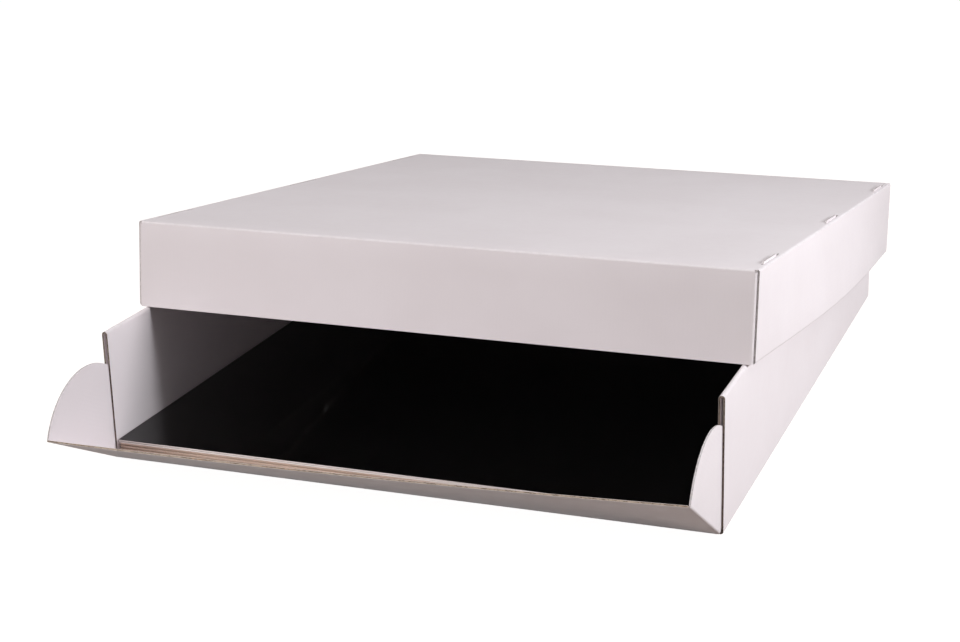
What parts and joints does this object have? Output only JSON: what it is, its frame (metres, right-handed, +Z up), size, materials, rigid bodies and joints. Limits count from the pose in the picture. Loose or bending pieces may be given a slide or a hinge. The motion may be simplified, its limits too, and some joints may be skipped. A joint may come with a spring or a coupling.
{
  "type": "corrugated cake box",
  "caption": "Corrugated cake box: a tray with a drop-front flap, a lid that lifts off, and a stack of cake boards lying on its floor.",
  "frame": {"origin": "middle of the underside of the tray's floor", "axes": "+X to the right seen from the front, +Y from the drop front to the back, +Z up"},
  "size_m": [0.525, 0.7743, 0.1799],
  "materials": {
    "tray_board": "white-coated corrugated board with tan raw edges",
    "lid_board": "white-coated corrugated board with tan raw edges",
    "black_laminate": "glossy black film on white-cored board",
    "white_core_board": "smooth pale board",
    "kraft_pad": "brown corrugated board"
  },
  "bodies": {
    "tray": {"base_tray": "tray_board", "cake_board": "black_laminate", "under_board": "white_core_board", "pad_1": "kraft_pad", "pad_2": "kraft_pad", "pad_3": "kraft_pad", "pad_4": "kraft_pad"},
    "flap": {"front_flap": "tray_board"},
    "lid": {"lid": "lid_board"}
  },
  "joints": [
    {"name": "flap_fold", "type": "hinge", "parent": "tray", "child": "flap", "pos_m": [0, -0.3, 0.0015], "axis": [-1, 0, 0], "range_deg": [-27.5, 62.5]},
    {"name": "lid_lift", "type": "slide", "parent": "tray", "child": "lid", "axis": [0, 0, 1], "range_m": [0, 0.16]}
  ]
}
